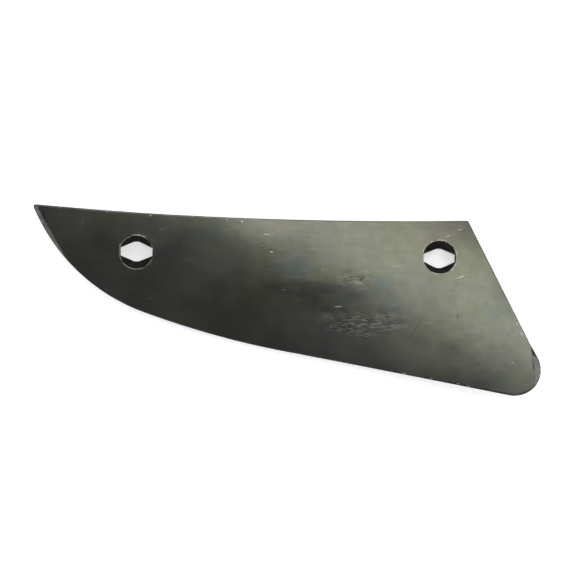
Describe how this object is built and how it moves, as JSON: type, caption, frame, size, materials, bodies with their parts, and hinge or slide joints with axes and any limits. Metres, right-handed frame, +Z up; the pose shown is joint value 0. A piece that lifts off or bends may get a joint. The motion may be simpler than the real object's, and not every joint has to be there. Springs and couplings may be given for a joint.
{
  "type": "mouldboard breast",
  "caption": "Twisted pressed-steel breast plate of a plough's mouldboard, with a pointed tip, a rounded nose and countersunk seats for plough bolts.",
  "frame": {"origin": "middle of the plate's box in plan, on the surface that the plate lies on", "axes": "+X along the two bolt seats towards the round nose, +Y towards the edge that meets the mouldboard, +Z up, out of the pressed face"},
  "size_m": [0.3333, 0.1208, 0.0258],
  "materials": {
    "oxide_steel": "dark mill scale under an oil film, with scratches and small chips"
  },
  "bodies": {
    "root": {"breast_plate": "oxide_steel"}
  },
  "joints": []
}
